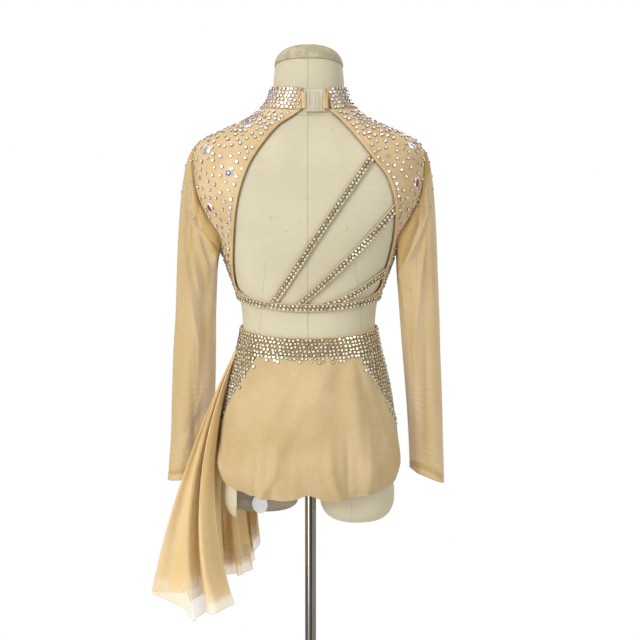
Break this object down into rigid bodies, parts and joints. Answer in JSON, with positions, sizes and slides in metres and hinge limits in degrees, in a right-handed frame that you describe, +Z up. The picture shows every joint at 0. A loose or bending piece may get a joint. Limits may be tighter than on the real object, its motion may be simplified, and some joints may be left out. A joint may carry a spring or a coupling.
{
  "type": "lyrical dance costume on a limbless dress form",
  "caption": "Backless lyrical dance two-piece with a stand collar, sheer long sleeves, stoned bands, bubble shorts and a side drape, on a limbless dress form with a pole stand.",
  "frame": {"origin": "on the floor, at the middle of the round base plate's underside", "axes": "+Z up along the pole; the costume's front faces -Y and its open back +Y; the wearer's left is +X"},
  "size_m": [0.488, 0.36, 1.4862],
  "materials": {
    "stretch": "nude stretch knit with a faint sheen, set with clear rhinestones",
    "crepe": "matte nude chiffon over a stretch base, in soft folds",
    "sheer": "sheer nude stretch mesh with turned hems",
    "drape": "very sheer nude tulle with a narrow pale edge",
    "linen": "smooth ecru linen with covered seams",
    "clasp": "half-clear moulded plastic, bare",
    "tab": "white, smooth",
    "chrome": "polished chrome tube",
    "base": "fine brushed steel plate"
  },
  "bodies": {
    "root": {"form_body": "linen", "thigh_tab": "tab", "neck_cap": "linen", "stand_pole": "chrome", "base_plate": "base", "pole_flange": "chrome", "bodice_front": "stretch", "bodice_back_left": "stretch", "bodice_back_right": "stretch", "binding_left": "stretch", "binding_right": "stretch", "collar": "stretch", "clasp_eye": "clasp", "clasp_hook": "clasp", "clasp_loop_left": "stretch", "clasp_loop_right": "stretch", "underbust_band": "stretch", "back_strap_1": "stretch", "back_strap_2": "stretch", "back_strap_3": "stretch", "sleeve_left": "sheer", "sleeve_right": "sheer", "waistband": "stretch", "side_piece_left": "stretch", "side_piece_right": "stretch", "bubble_back": "crepe", "bubble_front": "crepe", "gusset": "stretch", "side_drape": "drape"}
  },
  "joints": []
}
